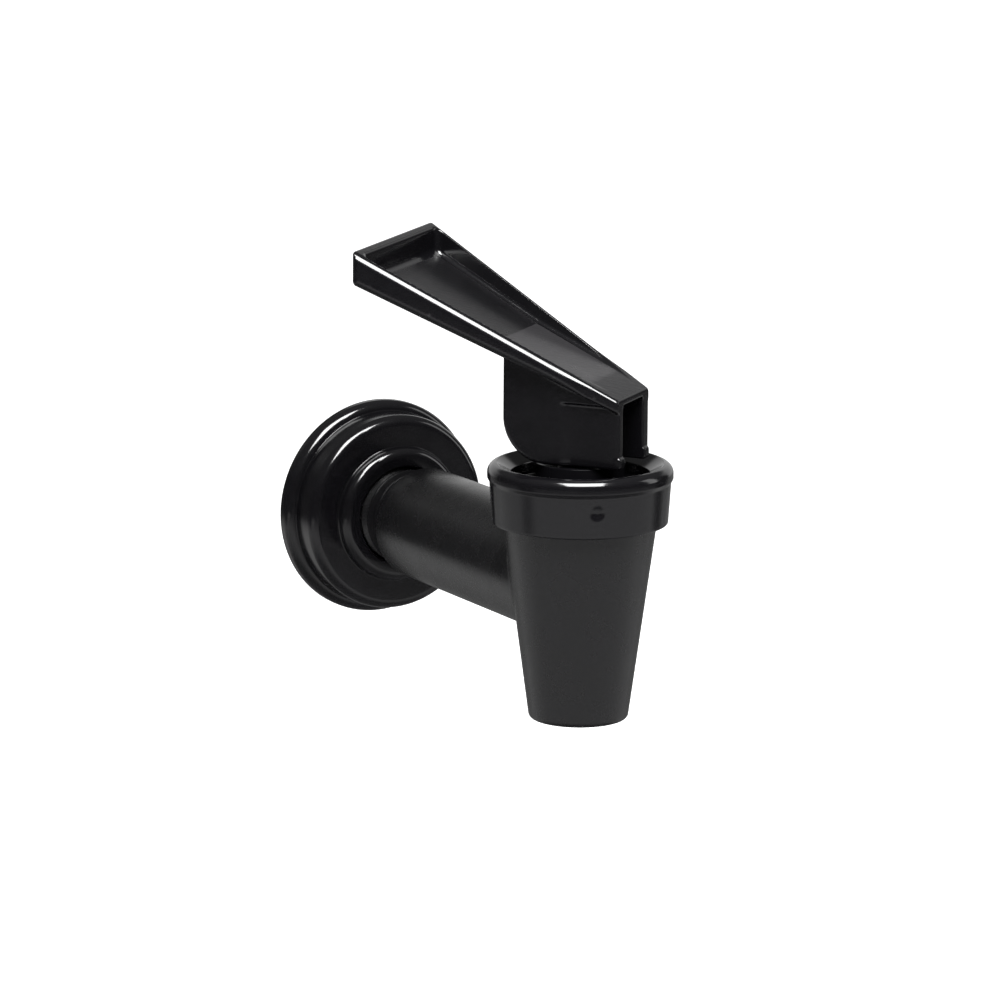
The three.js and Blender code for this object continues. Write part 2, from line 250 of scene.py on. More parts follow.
def outline(corners):
    """A closed outline from corners (a, b) or (a, b, radius), whose arcs are finely stepped."""
    points = []
    for i, corner in enumerate(corners):
        here = np.array(corner[:2], float)
        radius = corner[2] if len(corner) > 2 else 0
        if not radius:
            points.append(here)
            continue
        back = np.array(corners[i - 1][:2], float) - here
        on = np.array(corners[(i + 1) % len(corners)][:2], float) - here
        back, on = back / np.linalg.norm(back), on / np.linalg.norm(on)
        half = math.acos(np.clip(back @ on, -1, 1)) / 2
        middle = here + (back + on) / np.linalg.norm(back + on) * radius / math.sin(half)
        reach = radius / math.tan(half)
        first, last = here + back * reach - middle, here + on * reach - middle
        sweep = math.atan2(first[0] * last[1] - first[1] * last[0], first @ last)
        steps = max(2, round(abs(sweep) / ARC_STEP))
        for k in range(steps + 1):
            a = sweep * k / steps
            turn = np.array([[math.cos(a), -math.sin(a)], [math.sin(a), math.cos(a)]])
            points.append(middle + turn @ first)
    return np.array(points)


def divided(points, longest):
    """The outline with no straight run longer than the given length."""
    made = []
    for here, there in zip(points, np.roll(points, -1, 0)):
        steps = max(1, math.ceil(np.linalg.norm(there - here) / longest))
        made.extend(here + (there - here) * k / steps for k in range(steps))
    return np.array(made)


def turned(name, corners, sides, origin, axes, longest=3.0, shape=None):
    """A lathed piece: an outline of (radius, height) turned about the third of its axes."""
    profile = divided(outline(corners), longest)
    angle = np.arange(sides) * TURN / sides
    radius, height = profile[:, 0][:, None], profile[:, 1][:, None]
    points = np.stack([radius * np.cos(angle), radius * np.sin(angle), height + 0 * angle], 2)
    rows, columns = np.meshgrid(np.arange(len(profile)), np.arange(sides), indexing="ij")
    below, beside = (rows + 1) % len(profile), (columns + 1) % sides
    here, there = rows * sides, below * sides
    quads = np.stack([here + columns, here + beside, there + beside, there + columns], 2).reshape(-1, 4)
    points = points.reshape(-1, 3)
    if shape:
        points = shape(points)
    made = mesh_object(name, placed(points, origin, axes), quads)
    tidy(made)
    return made


FACE_WEIGHT = 60


def tidy(made):
    """Closes seams on the axis, turns faces outwards and keeps flat faces flat in shading."""
    bm = bmesh.new()
    bm.from_mesh(made.data)
    bmesh.ops.remove_doubles(bm, verts=bm.verts, dist=1e-7)
    bmesh.ops.recalc_face_normals(bm, faces=bm.faces)
    bm.to_mesh(made.data)
    bm.free()
    made.data.shade_smooth()
    keep = made.modifiers.new("flat_faces", "WEIGHTED_NORMAL")
    keep.weight = FACE_WEIGHT


ALONG_Y = np.array([[1.0, 0, 0], [0, 0, -1.0], [0, 1.0, 0]])  # a lathe's height runs along +Y

# ---------------------------------------------------------------- handle
PADDLE_FRONT, PADDLE_BACK = -9.1, 33.4
TOP_FRONT, TOP_BACK = 5.6, 28.3
UNDER_FRONT, UNDER_BACK = 3.4, 22.7
HALF_FRONT, HALF_BACK = 6.6, 16.28
RIM = 1.5
BEVEL_FRONT, BEVEL_BACK = 0.35, 1.3  # the round outer edges of rim and wall
UNDER_BEVEL_FRONT = 0.05  # nearly none where the paddle's side runs down into the cheek
BEVEL_WIDENS = (-8.5, 2.0)
BLEND_WIDENS = (-6.0, 2.0)  # flush faces need no fillet at the front
FRONT_EDGE = 0.3
END_EDGE = 0.6
CORNER, INNER_CORNER = 1.5, 1.4
RIM_EDGE = 0.3
DISH_FRONT, DISH_KINK = -5.0, 11.5
DISH_KINK_DEPTH, DISH_DEPTH = 2.6, 4.3
DISH_FILLET = 0.9
BLOCK_UNDER_DISH = 1.0  # the cheeks' block ends this far below the tray's floor
BLEND_FRONT, BLEND = 0.01, 0.5  # fillet between paddle and cheeks
DISH_DRAFT = 0.06
CHEEK_HALF, CHEEK_BACK, CHEEK_FOOT = 6.6, 10.9, -5.7
CHEEK_EDGE = 0.5
CAM_R = 7.3
SLOT_HALF = 4.2
SLOT_EDGE, SLOT_ROUND = 0.3, 0.5
SLOT_PAST = 2.0  # the slot's cutter goes on behind the cheeks
CEILING_FRONT, CEILING_BACK = 4.5, 12.7  # over the slot, at the cheeks' front and back
TOE_FRONT, TOE_BACK, TOE_TOP = -9.5, -8.0, -3.6
TOE_ROUND, TOE_EDGE, TOE_SIDE_EDGE, TOE_FILLET = 0.7, 0.5, 0.4, 0.1
RECESS, RECESS_TOP = 0.45, 4.75  # shallow, on the near cheek only
RECESS_RAMP, RECESS_TOP_RAMP = (-1.1, 1.1), 0.4
PIN_HOLE_R, PIN_HOLE_HALF = 1.9, 5.9


def along(y, front, back):
    """A value at y that runs evenly from the paddle's front to its back."""
    return front + (back - front) * (y - PADDLE_FRONT) / (PADDLE_BACK - PADDLE_FRONT)


def slope(front, back):
    """How fast such a value changes."""
    return (back - front) / (PADDLE_BACK - PADDLE_FRONT)


def dish_depth(y):
    """How far the tray's floor lies below the paddle's top."""
    front = DISH_KINK_DEPTH * (y - DISH_FRONT) / (DISH_KINK - DISH_FRONT)
    back = DISH_KINK_DEPTH + (DISH_DEPTH - DISH_KINK_DEPTH) * (y - DISH_KINK) / (PADDLE_BACK - DISH_KINK)
    return np.minimum(front, back)


def handle_field(x, y, z):
    """The handle around its pin, with x across it, y towards the paddle's end and z up."""
    wide = np.abs(x)
    top = tilted(z - along(y, TOP_FRONT, TOP_BACK), slope(TOP_FRONT, TOP_BACK))
    under = tilted(along(y, UNDER_FRONT, UNDER_BACK) - z, slope(UNDER_FRONT, UNDER_BACK))
    side = tilted(wide - along(y, HALF_FRONT, HALF_BACK), slope(HALF_FRONT, HALF_BACK))
    widens = rising(y, *BEVEL_WIDENS) + 0 * wide
    bevel = BEVEL_FRONT + (BEVEL_BACK - BEVEL_FRONT) * widens
    under_bevel = UNDER_BEVEL_FRONT + (BEVEL_BACK - UNDER_BEVEL_FRONT) * widens
    flanks = meet(meet(side, top, bevel), under, under_bevel)
    ends = meet(meet(meet(side, y - PADDLE_BACK, CORNER), top, END_EDGE), under, END_EDGE)
    paddle = meet(meet(flanks, ends), PADDLE_FRONT - y, FRONT_EDGE)

    depth = dish_depth(y)
    floor = tilted(along(y, TOP_FRONT, TOP_BACK) - depth - z, slope(TOP_FRONT, TOP_BACK))
    narrowing = DISH_DRAFT * (depth + top)
    inner = meet(side + RIM - narrowing, y - PADDLE_BACK + RIM, INNER_CORNER)
    dish = meet(inner, floor, DISH_FILLET)
    paddle = cut(paddle, dish, RIM_EDGE)

    in_recess = rising(-y, -RECESS_RAMP[1], -RECESS_RAMP[0]) * (x < 0)
    in_recess = in_recess * rising(-z, -RECESS_TOP, RECESS_TOP_RAMP - RECESS_TOP)
    cheek = meet(meet(y - CHEEK_BACK, CHEEK_FOOT - z, CAM_R), PADDLE_FRONT - y, FRONT_EDGE)
    roof = z - (along(y, TOP_FRONT, TOP_BACK) - np.maximum(depth, 0) - BLOCK_UNDER_DISH)
    block = meet(meet(cheek, roof), wide - CHEEK_HALF + RECESS * in_recess, CHEEK_EDGE)
    toe = meet(TOE_FRONT - y, z - TOE_TOP, TOE_ROUND)
    toe = meet(toe, meet(y - TOE_BACK, CHEEK_FOOT - z), TOE_EDGE)
    toe = meet(toe, wide - CHEEK_HALF + RECESS, TOE_SIDE_EDGE)
    blend = BLEND_FRONT + BLEND * rising(y, *BLEND_WIDENS)
    part = join(join(paddle, block, blend), toe, TOE_FILLET)

    ceiling_slope = (CEILING_BACK - CEILING_FRONT) / (CHEEK_BACK - PADDLE_FRONT)
    ceiling = CEILING_FRONT + ceiling_slope * (y - PADDLE_FRONT)
    slot = meet(wide - SLOT_HALF, tilted(z - ceiling, ceiling_slope), SLOT_ROUND)
    slot = meet(slot, y - CHEEK_BACK - SLOT_PAST)
    part = cut(part, slot, SLOT_EDGE)
    return cut(part, meet(np.hypot(y, z) - PIN_HOLE_R, wide - PIN_HOLE_HALF))


# ---------------------------------------------------------------- body
SPOUT_END_Z, SPOUT_END_R = -22.4, 8.0
SPOUT_TOP_Z, SPOUT_TOP_R = 9.8, 12.4
SPOUT_WALL = 1.9
TAPER = (SPOUT_TOP_R - SPOUT_END_R) / (SPOUT_TOP_Z - SPOUT_END_Z)
NECK_R, NECK_LOW_Z, NECK_TOP_Z = 12.3, 9.4, 13.5
LEDGE_R, LEDGE_Z = 10.9, 11.2
CHAMBER_R, CHAMBER_FLOOR_Z = 8.4, -7.6
SEAT_BORE_R, SEAT_RIDGE_R, SEAT_RIDGE = 4.6, 5.8, 1.0
WEB_UNDER_Z = -9.6
BARREL_FRONT_R, BARREL_BACK_R, BARREL_BACK_Y = 9.72, 9.3, -19.5
SHANK_END_Y = 13.0
GAP_END_Y = -12.8  # the flange's front: the thread shows between it and the barrel
INLET_R, INLET_MOUTH_R = 5.0, 5.3
THREAD_R, THREAD_ROOT_R, PITCH = 7.94, 6.55, 2.309
CREST_FLAT = 1 / 16  # of the pitch, to each side of a crest
CREST_EDGE, ROOT_FILLET = 0.12, 0.15
LIP, SPOUT_TOP_EDGE, NECK_EDGE = 0.8, 0.15, 0.3
BARREL_EDGE = 0.3
SHANK_EDGE, SHANK_FILLET = 0.15, 0.1
RIDGE_EDGE, RIDGE_FOOT = 0.3, 0.2
CHAMBER_ROUND, LEDGE_ROUND, WEB_ROUND = 0.5, 0.2, 0.6
HOLLOW_EDGE = 0.25
CREVICE = 0.45  # fillet between spout and barrel


def helical(x, y, z, crest, root):
    """A right-hand 60 degree thread along Y, between two radii."""
    phase = y / PITCH - np.arctan2(x, z) / TURN
    away = np.abs(phase - np.round(phase)) * PITCH
    radius = np.hypot(x, z)
    flank = ((away - PITCH * CREST_FLAT) * math.sqrt(3) + radius - crest) / 2
    return join(radius - root, meet(radius - crest, flank, CREST_EDGE), ROOT_FILLET)


def body_field(x, y, z):
    """Spout, barrel and shank in the frame of the part."""
    v = y - STEM[1]
    r = np.hypot(x, v)
    rho = np.hypot(x, z)
    cone = tilted(r - SPOUT_END_R - TAPER * (z - SPOUT_END_Z), TAPER)
    spout = meet(meet(cone, SPOUT_END_Z - z, LIP), z - SPOUT_TOP_Z, SPOUT_TOP_EDGE)
    neck = meet(meet(r - NECK_R, z - NECK_TOP_Z, NECK_EDGE), NECK_LOW_Z - z)
    taper = (BARREL_BACK_R - BARREL_FRONT_R) / (BARREL_BACK_Y - STEM[1])
    barrel = tilted(rho - BARREL_FRONT_R - taper * v, taper)
    barrel = meet(meet(barrel, y - BARREL_BACK_Y, BARREL_EDGE), -v)
    shank = helical(x, y, z, THREAD_R, THREAD_ROOT_R)
    chamfer = (rho - THREAD_ROOT_R + y - SHANK_END_Y) / math.sqrt(2)
    shank = meet(meet(meet(shank, chamfer, SHANK_EDGE), y - SHANK_END_Y, SHANK_EDGE), -v)
    part = join(join(join(spout, barrel, CREVICE), neck), shank, SHANK_FILLET)

    ridge = meet(r - SEAT_RIDGE_R, z - CHAMBER_FLOOR_Z - SEAT_RIDGE, RIDGE_EDGE)
    chamber = cut(meet(r - CHAMBER_R, CHAMBER_FLOOR_Z - z, CHAMBER_ROUND), ridge, RIDGE_FOOT)
    ledge = meet(r - LEDGE_R, LEDGE_Z - z, LEDGE_ROUND)
    bore = meet(r - SEAT_BORE_R, z)
    cone_in = tilted(r - SPOUT_END_R + SPOUT_WALL - TAPER * (z - SPOUT_END_Z), TAPER)
    outlet = meet(cone_in, z - WEB_UNDER_Z, WEB_ROUND)
    opening = (INLET_MOUTH_R - INLET_R) / (SHANK_END_Y - STEM[1])
    inlet = meet(rho - INLET_R - opening * v, -v)
    hollow = join(join(join(chamber, ledge), join(bore, outlet)), inlet)
    return cut(part, hollow, HOLLOW_EDGE)


# ---------------------------------------------------------------- nut
NUT_LOW, NUT_HIGH = (span("shank_nut")[k][1] for k in (0, 1))
NUT_R = span("shank_nut")[1][0]
NUT_BORE_R, NUT_THREAD, NUT_RELIEF = 8.24, 1.0, 0.9
NUT_CORNER, NUT_CAP, NUT_EDGE, CAP_EDGE, BORE_EDGE = 0.35, 0.5, 0.25, 0.15, 0.1


def nut_field(x, y, z):
    """The hexagonal nut around the shank, with rounded corners and a threaded bore."""
    sides = [abs(math.cos(a)) * np.abs(z) + math.sin(a) * np.abs(x) for a in (0, TURN / 6)]
    flats = meet(*(s - NUT_R * math.cos(TURN / 12) for s in sides), NUT_CORNER)
    middle = (NUT_LOW + NUT_HIGH) / 2
    ends = np.abs(y - middle) - (NUT_HIGH - NUT_LOW) / 2
    cap = (np.hypot(x, z) - NUT_R + NUT_CAP + ends * math.sqrt(3)) / 2
    prism = meet(meet(flats, ends, NUT_EDGE), cap, CAP_EDGE)
    bore = helical(x, y, z, NUT_BORE_R + NUT_THREAD, NUT_BORE_R)
    relief = (np.hypot(x, z) - NUT_BORE_R - NUT_RELIEF - ends) / math.sqrt(2)
    return cut(cut(prism, bore, BORE_EDGE), relief, BORE_EDGE)


# ---------------------------------------------------------------- stem
STEM_R, ROD_LOW_Z, STEM_TOP_Z = 3.6, 4.0, 29.4
POST_R, POST_MIDDLE_Z, POST_HALF = 2.9, 1.0, 4.0
KNOB_R = 3.9
SHOULDER_Z, SHOULDER_R, SHOULDER = 4.5, 6.5, 1.1
STEM_END_Z, KNOB = -3.5, 2.4
ROD_TOP_EDGE, KNOB_EDGE, SHOULDER_EDGE, HOLE_EDGE = 0.8, 0.4, 0.25, 0.2
KNOB_FILLET, SHOULDER_FILLET, ROD_FILLET = 0.2, 0.15, 0.2


def stem_field(x, y, z):
    """The stem around its own axis, with the pin's hole along x."""
    r = np.hypot(x, y)
    rod = meet(meet(r - STEM_R, z - STEM_TOP_Z, ROD_TOP_EDGE), ROD_LOW_Z - z)
    post = meet(r - POST_R, np.abs(z - POST_MIDDLE_Z) - POST_HALF)
    knob = meet(r - KNOB_R, np.abs(z - STEM_END_Z - KNOB / 2) - KNOB / 2, KNOB_EDGE)
    shoulder = np.abs(z - SHOULDER_Z + SHOULDER / 2) - SHOULDER / 2
    shoulder = meet(r - SHOULDER_R, shoulder, SHOULDER_EDGE)
    part = join(join(join(post, knob, KNOB_FILLET), shoulder, SHOULDER_FILLET), rod, ROD_FILLET)
    hole = np.hypot(y, z - (PIN[2] - STEM_FOOT[2])) - PIN_HOLE_R
    return cut(part, hole, HOLE_EDGE)


# ---------------------------------------------------------------- making the pieces
pieces = {}
FINE = 0.27  # cell sizes of the carved meshes
NUT_CELL, STEM_CELL = 0.24, 0.22


def keep(made, node, body, slot):
    """The piece stands for a CAD node, rides on its body and names its material slot."""
    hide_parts(node)
    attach(made, body)
    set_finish(made, slot)
    pieces[node] = made
    return made


# The boxes in which each carved solid is looked for, in its own frame.
HANDLE_BOX = (-16.9, -10.1, -6.3), (16.9, 33.9, 28.9)
BODY_BOX = (-12.9, -83.9, -22.9), (12.9, 13.5, 14.0)
NUT_BOX = (-12, NUT_LOW - 0.5, -12), (12, NUT_HIGH + 0.5, 12)
STEM_BOX = (-7, -7, -4), (7, 7, 30)
handle = carved("lever_handle", handle_field, *HANDLE_BOX, FINE, PIN, HANDLE_AXES)
body = carved("faucet_body", body_field, *BODY_BOX, FINE)
nut = carved("hex_nut", nut_field, *NUT_BOX, NUT_CELL)
stem = carved("valve_stem", stem_field, *STEM_BOX, STEM_CELL, STEM_FOOT, HANDLE_AXES)

BEAD_R, BONNET_R, MOUTH_Z, MOUTH_R = 1.6, 15.0, 18.1, 11.2
BAND_TOP_Z, BAND_TOP_R, BAND_END_Z, BAND_END_R = 16.7, 14.65, 9.95, 14.2
RECESS_Z, HUB_R, HUB_Z, CEILING_Z = 15.9, 7.2, 19.9, 13.9
CLEARANCE = 0.3
HUB_HOLE_R, SKIRT_R = STEM_R + CLEARANCE, NECK_R + CLEARANCE
GROOVE_IN_R, GROOVE_OUT_R, GROOVE = 8.0, 9.6, 0.3  # under the ceiling, over the cup's rim
GATE_ANGLE = math.radians(-109.3)  # the mould's gate mark on the band, seen from +X
GATE_Z, GATE_R, GATE_DEPTH = 14.4, 1.3, 0.25
GATE_FLAT = 0.35  # of its radius
BONNET_LONGEST = 0.3  # fine enough for the mark
BONNET_SIDES, FLANGE_SIDES, RING_SIDES, INNER_SIDES, PIN_SIDES = 320, 192, 128, 96, 64


def gate_mark(points):
    """Presses the shallow round mark that the mould's gate leaves into the bonnet's band."""
    radius = np.hypot(points[:, 0], points[:, 1])
    around = BAND_TOP_R * ((np.arctan2(points[:, 1], points[:, 0]) - GATE_ANGLE + math.pi) % TURN - math.pi)
    away = np.hypot(around, points[:, 2] - GATE_Z) / GATE_R
    outside = radius > BAND_END_R - 0.1
    depth = GATE_DEPTH * (1 - rising(away, GATE_FLAT, 1.0)) * outside
    points[:, :2] *= (1 - depth / radius)[:, None]
    return points


bonnet = turned(
    "bonnet_cap",
    [
        (HUB_HOLE_R, CEILING_Z, 0.2),
        (GROOVE_IN_R, CEILING_Z),
        (GROOVE_IN_R, CEILING_Z - GROOVE),
        (GROOVE_OUT_R, CEILING_Z - GROOVE),
        (GROOVE_OUT_R, CEILING_Z),
        (SKIRT_R, CEILING_Z, 0.2),
        (SKIRT_R, BAND_END_Z, 0.2),
        (BAND_END_R, BAND_END_Z, 0.3),
        (BAND_TOP_R, BAND_TOP_Z, 0.15),
        (BONNET_R, MOUTH_Z - BEAD_R / 2, 0.5),
        (BONNET_R, MOUTH_Z + BEAD_R, BEAD_R - 0.05),
        (BONNET_R - BEAD_R, MOUTH_Z + BEAD_R, 0.6),
        (MOUTH_R, MOUTH_Z, 0.25),
        (MOUTH_R - 0.3, RECESS_Z, 0.5),
        (HUB_R, RECESS_Z, 0.5),
        (HUB_R, HUB_Z, 0.08),
        (HUB_HOLE_R, HUB_Z, 0.3),
    ],
    BONNET_SIDES,
    STEM_FOOT,
    ROW_AXES,
    longest=BONNET_LONGEST,
    shape=gate_mark,
)

FLANGE_R, RING_R, FLANGE_HUB_R, FLANGE_ROUND = 18.1, 16.5, 11.4, 1.6
FLANGE_Y, RING_Y, FLANGE_FACE_Y = -2.0, -5.2, -10.8
BORE_R = THREAD_R + CLEARANCE
flange = turned(
    "wall_flange",
    [
        (BORE_R, FLANGE_Y, 0.2),
        (FLANGE_R, FLANGE_Y, 0.8),
        (FLANGE_R, RING_Y, FLANGE_ROUND),
        (RING_R, RING_Y, 0.15),
        (RING_R, FLANGE_FACE_Y, FLANGE_ROUND),
        (FLANGE_HUB_R, FLANGE_FACE_Y, 0.2),
        (FLANGE_HUB_R, GAP_END_Y, FLANGE_ROUND),
        (BORE_R, GAP_END_Y, 0.3),
    ],
    FLANGE_SIDES,
    ORIGIN,
    ALONG_Y,
)


def ring(name, node, inner, edge):
    """A plain rubber ring along the shank, as deep and wide as its CAD node."""
    low, high = span(node)
    corners = [(inner, low[1]), (high[0], low[1]), (high[0], high[1]), (inner, high[1])]
    return turned(name, [(*c, edge) for c in corners], RING_SIDES, ORIGIN, ALONG_Y)


gasket = ring("flange_seal", "flange_gasket", BORE_R, 0.25)
nut_seal = ring("nut_seal", "nut_washer", BORE_R, 0.2)

washer_low, washer_high = (s[2] for s in span("spring_washer"))
washer = turned(
    "thrust_washer",
    [
        (HUB_HOLE_R, washer_low, 0.1),
        (SHOULDER_R, washer_low, 0.15),
        (SHOULDER_R, washer_high, 0.15),
        (HUB_HOLE_R, washer_high, 0.1),
    ],
    INNER_SIDES,
    STEM_FOOT,
    ROW_AXES,
)

PIN_R, PIN_HALF = 1.6, 5.6
pin = turned(
    "hinge_pin",
    [(0, -PIN_HALF), (PIN_R, -PIN_HALF, 0.3), (PIN_R, PIN_HALF, 0.3), (0, PIN_HALF)],
    PIN_SIDES,
    PIN,
    np.array([BEHIND, UP, LATERAL]),
)

CUP_LOW, CUP_HIGH = (s[2] for s in span("seat_cup"))
KNOB_ROOM_Z = -0.2  # the lifted knob stays below this, though the cup is pressed up less than the stem
CUP_PLUG_R, CUP_PLUG_TOP_Z, CUP_FLOOR_Z = 5.9, 0.5, CUP_LOW + 2.5
CUP_SKIRT_R, CUP_INNER_R, CUP_WAIST_Z = 8.0, 7.0, 3.1
CUP_RIM_R, CUP_RIM_Z = 10.6, 11.5
cup = turned(
    "silicone_cup",
    [
        (0, CUP_LOW),
        (CUP_PLUG_R, CUP_LOW, 0.8),
        (CUP_PLUG_R, CUP_PLUG_TOP_Z, 0.6),
        (CUP_SKIRT_R, CUP_WAIST_Z, 0.6),
        (CUP_SKIRT_R, CUP_RIM_Z, 0.3),
        (CUP_RIM_R, CUP_RIM_Z, 0.3),
        (CUP_RIM_R, CUP_HIGH, 0.3),
        (CUP_INNER_R, CUP_HIGH, 0.3),
        (CUP_INNER_R, CUP_WAIST_Z, 0.4),
        (POST_R + CLEARANCE, CUP_WAIST_Z, 0.2),
        (POST_R + CLEARANCE, KNOB_ROOM_Z),
        (KNOB_R + CLEARANCE, KNOB_ROOM_Z),
        (KNOB_R + CLEARANCE, CUP_FLOOR_Z),
        (0, CUP_FLOOR_Z),
    ],
    INNER_SIDES,
    STEM_FOOT,
    ROW_AXES,
)

SPRING_R, WIRE_R, SPRING_TURNS = 5.2, 0.45, 5
COIL_STEPS, WIRE_SIDES = 360, 14
END_SHARE, END_RISE, END_BLEND = 0.13, 0.06, 0.35  # the spring's ends, which lie nearly flat
SPRING_LOW, SPRING_HIGH = (s[2] for s in span("closing_spring"))


def coil(name, low, high):
    """The closing spring, whose last turn at each end lies nearly flat."""
    steps, around = COIL_STEPS, WIRE_SIDES
    t = np.linspace(0, 1, steps)
    rise = np.clip((t - END_SHARE) / (1 - 2 * END_SHARE), 0, 1)
    rise = END_RISE * t + (1 - END_RISE) * rising(rise, -END_BLEND, 1 + END_BLEND)
    rise = (rise - rise[0]) / (rise[-1] - rise[0])
    height = low + WIRE_R + (high - low - 2 * WIRE_R) * rise
    angle = TURN * SPRING_TURNS * t
    middle = np.stack([SPRING_R * np.cos(angle), SPRING_R * np.sin(angle), height], 1)
    out = np.stack([np.cos(angle), np.sin(angle), 0 * angle], 1)
    ahead = np.gradient(middle, axis=0)
    ahead /= np.linalg.norm(ahead, axis=1)[:, None]
    over = np.cross(ahead, out)
    turn = np.arange(around) * TURN / around
    rings = middle[:, None] + WIRE_R * (
        np.cos(turn)[None, :, None] * out[:, None] + np.sin(turn)[None, :, None] * over[:, None]
    )
    points = np.concatenate([rings.reshape(-1, 3), middle[[0, -1]]])
    i, j = np.meshgrid(np.arange(steps - 1), np.arange(around), indexing="ij")
    k = (j + 1) % around
    here, there = i * around, (i + 1) * around
    quads = np.stack([here + j, here + k, there + k, there + j], 2).reshape(-1, 4)
    made = mesh_object(name, placed(points, STEM_FOOT, ROW_AXES), quads)
    bm = bmesh.new()
    bm.from_mesh(made.data)
    bm.verts.ensure_lookup_table()
    for first, tip in ((0, len(points) - 2), ((steps - 1) * around, len(points) - 1)):
        for a in range(around):
            bm.faces.new([bm.verts[first + a], bm.verts[first + (a + 1) % around], bm.verts[tip]])
    bmesh.ops.recalc_face_normals(bm, faces=bm.faces)
    bm.to_mesh(made.data)
    bm.free()
    made.data.shade_smooth()
    return made


spring = coil("coil_spring", SPRING_LOW, SPRING_HIGH)

keep(handle, "handle", "handle", "gloss_black")
keep(bonnet, "bonnet", "faucet", "gloss_black")
keep(flange, "flange", "faucet", "gloss_black")
keep(body, "body", "faucet", "satin_black")
keep(nut, "shank_nut", "faucet", "satin_black")
keep(gasket, "flange_gasket", "faucet", "black_rubber")
keep(nut_seal, "nut_washer", "faucet", "black_rubber")
keep(cup, "seat_cup", "faucet", "silicone")
keep(stem, "stem", "stem", "black_acetal")
keep(pin, "pivot_pin", "stem", "steel")
keep(spring, "closing_spring", "spring_turret", "steel")
keep(washer, "spring_washer", "spring_turret", "steel")


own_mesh(spring)
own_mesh(cup)


# ---------------------------------------------------------------- materials
class Tree:
    """The nodes of a material or of the world, with short ways to add the kinds used here."""

    def __init__(self, owner):
        owner.use_nodes = True
        self.owner, self.nodes, self.links = owner, owner.node_tree.nodes, owner.node_tree.links
        self.place = self.nodes.new("ShaderNodeTexCoord")

    def feed(self, socket, value):
        """Links an output to the socket, or sets the socket to a constant."""
        if isinstance(value, bpy.types.NodeSocket):
            self.links.new(value, socket)
        else:
            socket.default_value = value

    def ranged(self, value, low, high, to_low=0.0, to_high=1.0):
        """The value moved from one range to another, and kept inside it."""
        node = self.nodes.new("ShaderNodeMapRange")
        numbers = {"From Min": low, "From Max": high, "To Min": to_low, "To Max": to_high}
        for socket, number in numbers.items():
            node.inputs[socket].default_value = number
        self.feed(node.inputs["Value"], value)
        return node.outputs["Result"]

    def combined(self, kind, a, b):
        """A sum or product of two numbers."""
        node = self.nodes.new("ShaderNodeMath")
        node.operation = kind
        self.feed(node.inputs[0], a)
        self.feed(node.inputs[1], b)
        return node.outputs[0]

    def vector(self, kind, value, constant=(0, 0, 0)):
        """One step of vector maths with a constant, or the vector's length."""
        node = self.nodes.new("ShaderNodeVectorMath")
        node.operation = kind
        self.feed(node.inputs[0], value)
        node.inputs[1].default_value = constant
        return node.outputs["Value" if kind in ("DOT_PRODUCT", "LENGTH") else "Vector"]

    def mixed(self, factor, a, b):
        """Colour a where the factor is 0, colour b where it is 1."""
        node = self.nodes.new("ShaderNodeMix")
        node.data_type = "RGBA"
        for socket, value in (("Factor", factor), ("A", a), ("B", b)):
            self.feed(node.inputs[socket], value)
        return node.outputs["Result"]

    def noise(self, scale, detail, roughness=0.6, stretch=None):
        """Noise over the object, in waves per metre, drawn out along a slanting axis if stretched."""
        node = self.nodes.new("ShaderNodeTexNoise")
        for socket, number in (("Scale", scale), ("Detail", detail), ("Roughness", roughness)):
            node.inputs[socket].default_value = number
        source = self.place.outputs["Object"]
        if stretch:
            mapping = self.nodes.new("ShaderNodeMapping")
            mapping.inputs["Scale"].default_value = stretch
            mapping.inputs["Rotation"].default_value = STRETCH_TURN
            self.feed(mapping.inputs["Vector"], source)
            source = mapping.outputs["Vector"]
        self.feed(node.inputs["Vector"], source)
        return node.outputs["Fac"]


STRETCH_TURN = (0.3, 0.5, 0.7)
CLOUDS, CLOUD_LEVELS = (260.0, 5.0), (0.3, 0.7)  # a noise, then the levels it is drawn between
SCUFFS, SCUFF_LEVELS = (190.0, 8.0, 0.7, (1.0, 14.0, 1.0)), (0.6, 0.85)
TOOL_MARKS, TOOL_LEVELS, TOOL_HEIGHT = (500.0, 2.0, 0.5, (1.0, 7.0, 1.0)), (0.4, 0.7), 2.0
EDGE_LEVELS, WORN_LEVELS = (0.54, 0.64), (0.45, 0.65)  # of pointiness and clouds: edges wear in patches
MOTTLE = 0.25  # how much the colour varies, to each side
WORN_PALER, WORN_ROUGHER = 0.06, 0.5
SCUFF_ROUGHER = 0.35  # of the roughness range
SATIN_FACING, PAINTED_SHEEN_FACING = (0.97, 0.985), (0.9985, 0.9995)  # cosines to the tray's direction: rougher faces, then the faces that get the painted sheen
SATIN_ROUGHER = 0.16
PAINTED_TRAY_SHEEN = (0.016, 0.0155, 0.0165, 1)  # painted sheen: the front of the tray's floor is painted paler than the rest, for the brighter light it reflects
# painted shade: in shaded hollows the shine falls from SHINE to the lower level
SHINE, PAINTED_SHADE_SHINE = 0.5, 0.06
PAINTED_SHADE_EDGE = 0.1  # in millimetres, the soft edge of the painted shade
GRAIN, GRAIN_DEPTH = 900.0, 0.000005  # waves per metre, and metres
COARSER, COARSE_HEIGHT = 6, 1.5  # a second, wider grain


